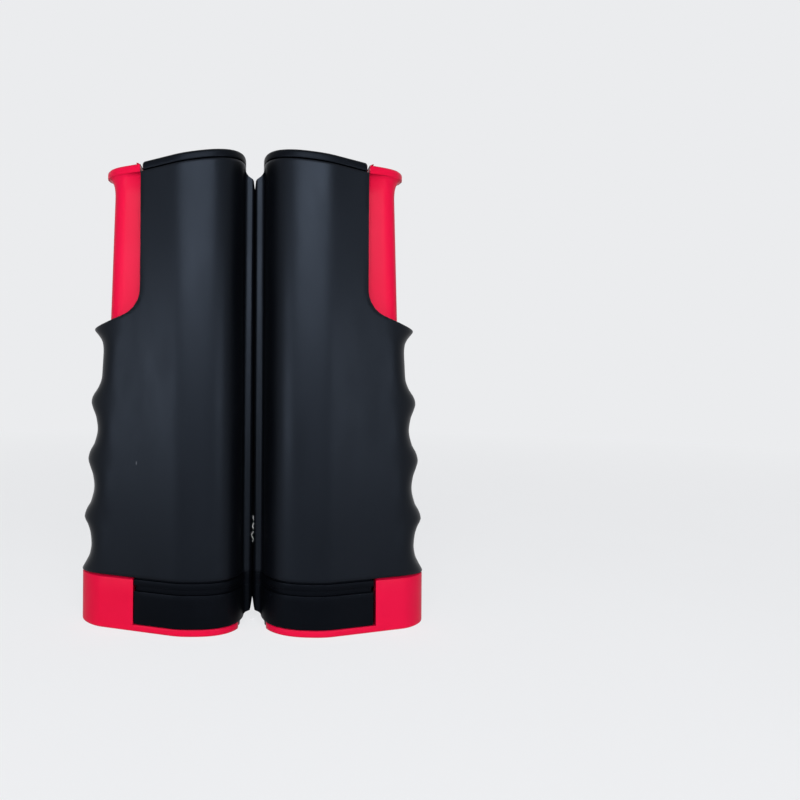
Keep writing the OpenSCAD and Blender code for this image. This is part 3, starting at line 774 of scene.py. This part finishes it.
def buildSpring(name, look, side):
    shut = look["wire"] + springs["endGap"]  # the rise of the first and of the last turn
    height, turns, radius = look["high"] - look["low"], look["turns"], look["radius"]
    pitch = (height - 2 * shut) / (turns - 2)
    t = np.linspace(0, turns, turns * 22 + 1)
    z = np.where(t > turns - 1, height - (turns - t) * shut, shut + (t - 1) * pitch)
    z = np.where(t < 1, t * shut, z)
    # the change of pitch is eased over half a turn
    z = np.convolve(np.pad(z, 5, mode="reflect", reflect_type="odd"), np.ones(11) / 11, "valid")
    a = 2 * math.pi * t
    points = np.column_stack([look["x"] + radius * np.cos(a), radius * np.sin(a), look["low"] + z])
    return sweptTube(name, points, look["wire"] / 2, 10, side, made["springSteel"])


screw = {
    # radius and height of the shank and the head
    "profile": [(1.35, -5.2), (1.35, 0.0), (2.35, 0.02), (2.48, 0.15), (2.48, 0.9), (2.3, 1.35), (1.8, 1.75),
                (1.0, 1.96), (0.3, 2.0)],
    "crossReach": 1.35, "crossHalf": 0.34, "crossFloor": 1.1, "crossTop": 3,
}


def buildScrew(x, y, z, side):  # a pan head with a cross, which faces the back
    one = turned("screw", (x, y, z), screw["profile"], side, made["screwSteel"], 32, "y")
    reach, half = screw["crossReach"], screw["crossHalf"]
    for wideX, wideZ in ((reach, half), (half, reach)):
        slot = block((x - wideX, x + wideX), (y + screw["crossFloor"], y + screw["crossTop"]),
                     (z - wideZ, z + wideZ), side)
        carve(one, slot)
        bpy.data.objects.remove(slot)
    return one


print("building the springs and screws")
for sideName, side in sides.items():
    piece = buildSpring(f"{sideName}_clamp_coil", springs["clamp"], side)
    dress(piece, f"{sideName}_post", "spring_steel", f"{sideName}_clamp_spring")
    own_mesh(piece)
    piece = buildSpring(f"{sideName}_reel_coil", springs["reel"], side)
    dress(piece, f"{sideName}_reel", "spring_steel", f"{sideName}_reel_spring")
    screws = [buildScrew(x, housing["wellFloor"], z, side) for x, z in housing["wells"]]
    piece = merged(f"{sideName}_shell_screw_set", screws)
    softShade(piece, 35)
    dress(piece, f"{sideName}_post", "screw_steel", f"{sideName}_shell_screws")

net = {
    "low": 30.9, "high": 176.9, "tape": 13.0, "hem": 1.5, "binding": 5.0, "meshes": 106, "depth": 1.0,
    "twine": 1.0, "zigzag": 0.5, "rowsOfMesh": 8,
    "slotX": 7.2, "tailThick": 0.35, "tailLean": 0.75,  # the tail leaves the roll a little outside its radius
    "rollR": 16.4, "coreR": 9.05, "layers": 10.5, "layerHalf": 0.4, "rollEnd": math.radians(160),
}


def buildMiddle():  # the net's columns stand one behind another in the slot, spaced in depth by an inverse smooth step
    count = net["meshes"]
    share = np.arange(count + 1) / count
    t = 0.5 - np.sin(np.arcsin(1 - 2 * share) / 3)  # the inverse of a smooth step
    y = (2 * t - 1) * net["depth"]
    x = np.where(np.arange(count + 1) % 2, 1, -1) * net["zigzag"]
    verts, faces, cloth = [], [], []  # cloth: 0 is dark twine, 1 is white tape
    half, hem = net["twine"] / 2, net["hem"]
    low, high = net["low"] + net["binding"], net["high"] - net["tape"]
    for i in range(count + 1):  # upright twines
        at = len(verts)
        left, right = x[i] - half, x[i] + half
        verts += [[left, y[i], low], [right, y[i], low], [right, y[i], high], [left, y[i], high]]
        faces.append((at, at + 1, at + 2, at + 3))
        cloth.append(0)
    levels = np.linspace(low, high, net["rowsOfMesh"] + 1)[1:-1]
    bands = [(z - half, z + half, 0) for z in levels]
    bands += [(net["low"], low, 1), (high, high + hem, 1), (high + hem, net["high"] - hem, 1),
              (net["high"] - hem, net["high"], 1)]
    for bottom, top, kind in bands:
        at = len(verts)
        for i in range(count + 1):
            verts += [[x[i], y[i], bottom], [x[i], y[i], top]]
        faces += [(at + 2 * i, at + 2 * i + 2, at + 2 * i + 3, at + 2 * i + 1) for i in range(count)]
        cloth += [kind] * count
    mesh = bpy.data.meshes.new("net_between_posts")
    mesh.from_pydata((np.array(verts) * mm).tolist(), [], faces)
    mesh.materials.append(made["netTwine"])
    mesh.materials.append(made["netTape"])
    mesh.polygons.foreach_set("material_index", cloth)
    piece = bpy.data.objects.new("net_between_posts", mesh)
    scene.collection.objects.link(piece)
    return piece


def buildTail(name, side):  # the net's run from the roll to the slot
    slotX, reach = net["slotX"], post["reelX"] - net["slotX"]
    touch = net["rollR"] + net["tailLean"]
    length = math.sqrt(reach**2 - touch**2)
    turn = math.asin(touch / reach)
    path = [(0.5, 0.0), (3.5, 0.0), (slotX, 0.0)]
    path += [(slotX + length * s * math.cos(turn), length * s * math.sin(turn)) for s in (0.3, 0.65, 1.0)]
    path = np.array(path)
    along = np.gradient(path, axis=0)
    normal = np.column_stack([-along[:, 1], along[:, 0]]) / np.hypot(*along.T)[:, None]
    half = net["tailThick"] / 2
    loop = np.vstack([path - normal * half, (path + normal * half)[::-1]])
    low, high = net["low"] + net["binding"], net["high"] - net["tape"]
    levels = [net["low"], low, *np.linspace(40, 160, 13), high, net["high"]]
    piece = meshPiece(name, *stacked([atHeight(loop, z) for z in levels]), side, made["netTwine"], 40)
    whiteEdges(piece)
    return piece


def whiteEdges(piece):  # the tape and the binding are white, the mesh between them dark
    piece.data.materials.append(made["netTape"])
    low, high = (net["low"] + net["binding"]) * mm, (net["high"] - net["tape"]) * mm
    for face in piece.data.polygons:
        face.material_index = 1 if face.center.z > high or face.center.z < low else 0


def buildRoll(name, side):  # the net wound up, layer on layer
    steps = int(net["layers"] * 40)
    turnAngle = np.linspace(0, net["layers"] * 2 * math.pi, steps + 1)
    pitch = (net["rollR"] - net["coreR"]) / net["layers"]
    middle = net["coreR"] + pitch / 2 + (net["rollR"] - net["coreR"] - pitch) * turnAngle / turnAngle[-1]
    a = net["rollEnd"] - turnAngle[-1] + turnAngle
    rows = []
    levels = [net["low"], net["low"] + net["binding"], 80.0, 120.0, net["high"] - net["tape"], net["high"]]
    for offset, order in ((-net["layerHalf"], levels), (net["layerHalf"], levels[::-1])):
        r = middle + offset * pitch
        ring = np.column_stack([post["reelX"] + r * np.cos(a), r * np.sin(a)])
        rows += [atHeight(ring, z) for z in order]
    n, count = steps + 1, len(rows)
    faces = []
    for here in range(count):
        there = (here + 1) % count
        faces += [(here * n + i, here * n + i + 1, there * n + i + 1, there * n + i) for i in range(steps)]
    faces += [tuple(r * n for r in range(count)), tuple(r * n + steps for r in range(count))]
    piece = meshPiece(name, np.vstack(rows), faces, side, made["netTwine"], 40)
    whiteEdges(piece)
    return piece


thread = {  # a loose loop of the net's white edge thread, caught between the lips
    "radius": 0.085,
    "points": [(0.1, -4.4, 45.1), (0.15, -5.6, 44.3), (0.5, -5.2, 43.4), (0.5, -4.7, 42.4), (0.0, -5.6, 41.2),
               (0.2, -5.6, 40.2), (0.5, -4.8, 39.1), (0.1, -5.0, 38.1), (-0.5, -5.7, 37.4),
               (-0.15, -5.75, 36.5), (0.3, -5.7, 35.6), (0.2, -5.0, 34.8), (-0.2, -4.4, 34.2)],
}

print("winding the net")
middle = buildMiddle()
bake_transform(middle)
for sideName, side in sides.items():
    tail = buildTail(f"{sideName}_net_run", side)
    dress(tail, f"{sideName}_post", "net_fabric", f"{sideName}_net_tail")
    roll = buildRoll(f"{sideName}_wound_net", side)
    dress(roll, f"{sideName}_reel", "net_fabric", f"{sideName}_net_roll")
loop = sweptTube("loose_edge_thread", curveThrough(thread["points"]), thread["radius"], 8, 1, made["netTape"])
dress(loop, "right_post", "net_fabric")

print("finishing the inner parts")
innerParts = {
    "reel_axle": "axleSteel", "reel_tube": "reelPlastic", "bottom_bush": "bushPlastic",
    "top_bush": "bushPlastic", "base_screws": "screwSteel",
}
for sideName in sides:
    for part, material in innerParts.items():
        node = nodes[f"{sideName}_{part}"]
        node.data.materials.clear()
        node.data.materials.append(made[material])

studio = {
    "pale": (0.831, 0.839, 0.855), "skyForLight": 0.15,
    "grain": ((0.80, 0.81, 0.825), (0.84, 0.85, 0.865)),
    # share and strength of the sweep's glow beside the posts, and the metres over which both come to 1
    "nearShare": 0.80, "nearGlow": 1.105, "near": (0.25, 1.1),
    # radius and height of the floor and the wall, in metres, and the bend between them
    "floor": [(0.0, 0.0), (0.3, 0.0), (1.0, 0.0), (2.0, 0.0)], "bendR": 1.2, "wall": [(3.2, 2.2), (3.2, 3.4)],
    "drop": 0.15,  # mm that the floor lies below the posts
    "lampColour": (0.97, 0.985, 1.0),
    "boxes": [  # place, aim, width, height and watts
        ((-0.62, -0.66, 0.105), (0, -0.02, 0.08), 0.30, 0.20, 2.1),
        ((0.62, -0.66, 0.105), (0, -0.02, 0.08), 0.30, 0.20, 1.6),
        ((0.0, -0.9, 0.40), (0, -0.02, 0.12), 0.86, 0.42, 10.8),
    ],
}


def seenBackground(tree):  # 1 for the rays that show the backdrop, straight on or in a reflection
    path = tree.nodes.new("ShaderNodeLightPath")
    total = path.outputs["Is Camera Ray"]
    for name in ("Is Glossy Ray", "Is Transmission Ray"):
        add = tree.nodes.new("ShaderNodeMath")
        add.operation = "MAXIMUM"
        tree.links.new(total, add.inputs[0])
        tree.links.new(path.outputs[name], add.inputs[1])
        total = add.outputs[0]
    return total


def paleSweep():  # the floor's material
    material = bpy.data.materials.new("paleSweep")
    material.use_nodes = True
    tree = material.node_tree
    tree.nodes.clear()
    diffuse = tree.nodes.new("ShaderNodeBsdfDiffuse")
    grain = blendColour(tree, ramp(tree, noise(tree, 9, 3), 0, 1), *studio["grain"])
    tree.links.new(grain, diffuse.inputs["Color"])
    coords = tree.nodes.new("ShaderNodeTexCoord")
    length = tree.nodes.new("ShaderNodeVectorMath")
    length.operation = "LENGTH"
    tree.links.new(coords.outputs["Object"], length.inputs[0])
    away = length.outputs["Value"]
    glow = tree.nodes.new("ShaderNodeEmission")  # even further out; beside the posts it lets the shadow show
    glow.inputs["Color"].default_value = (*studio["pale"], 1)
    tree.links.new(ramp(tree, away, studio["nearGlow"], 1.0, *studio["near"]), glow.inputs["Strength"])
    share = tree.nodes.new("ShaderNodeMath")
    share.operation = "MULTIPLY"
    tree.links.new(ramp(tree, away, studio["nearShare"], 1.0, *studio["near"]), share.inputs[0])
    tree.links.new(seenBackground(tree), share.inputs[1])
    mix = tree.nodes.new("ShaderNodeMixShader")
    tree.links.new(share.outputs[0], mix.inputs["Fac"])
    tree.links.new(diffuse.outputs[0], mix.inputs[1])
    tree.links.new(glow.outputs[0], mix.inputs[2])
    out = tree.nodes.new("ShaderNodeOutputMaterial")
    tree.links.new(mix.outputs[0], out.inputs["Surface"])
    return material


def buildStage():
    bendR, bendX = studio["bendR"], studio["floor"][-1][0]
    bend = [(bendX + bendR * math.sin(a), bendR - bendR * math.cos(a)) for a in np.radians(range(10, 91, 10))]
    angle = np.linspace(0, 2 * math.pi, 72, endpoint=False)
    rows = []
    for r, z in [*studio["floor"], *bend, *studio["wall"]]:
        r = max(r, 0.001) * 1000
        ring = np.column_stack([r * np.cos(angle), r * np.sin(angle)])
        rows.append(atHeight(ring, z * 1000 - studio["drop"]))
    floor = meshPiece("studio_sweep", *stacked(rows, capEnds=False), 1, paleSweep(), 60)


def buildLight():
    world = bpy.data.worlds.new("studioWorld")
    scene.world = world
    world.use_nodes = True
    tree = world.node_tree
    back = tree.nodes["Background"]
    back.inputs["Color"].default_value = (*studio["pale"], 1)
    strength = ramp(tree, seenBackground(tree), studio["skyForLight"], 1.0, 0, 1)
    tree.links.new(strength, back.inputs["Strength"])
    for number, (place, aim, width, height, watts) in enumerate(studio["boxes"]):
        lamp = bpy.data.lights.new(f"softbox{number}", "AREA")
        lamp.shape, lamp.size, lamp.size_y = "RECTANGLE", width, height
        lamp.energy, lamp.color = watts, studio["lampColour"]
        holder = bpy.data.objects.new(f"softbox{number}", lamp)
        scene.collection.objects.link(holder)
        holder.location = place
        holder.visible_camera = False
        direction = np.array(aim) - np.array(place)
        yaw = math.atan2(direction[0], -direction[1])
        rise = math.atan2(direction[2], math.hypot(direction[0], direction[1]))
        holder.rotation_euler = (math.pi / 2 + rise, 0, math.pi + yaw)


camera = {"place": (0.0, -0.302, 0.1039), "lens": 31.73, "shift": (0.1829, -0.0296), "roll": -0.38}


def buildCamera():
    lens = bpy.data.cameras.new("camera")
    lens.lens, lens.sensor_width = camera["lens"], 36
    lens.shift_x, lens.shift_y = camera["shift"]
    lens.clip_start, lens.clip_end = 0.01, 20
    holder = bpy.data.objects.new("camera", lens)
    scene.collection.objects.link(holder)
    holder.location = camera["place"]
    holder.rotation_euler = (math.pi / 2, math.radians(camera["roll"]), 0)
    scene.camera = holder


print("setting the studio")
buildStage()
buildLight()
buildCamera()
scene.view_settings.view_transform = "Standard"

print("done")
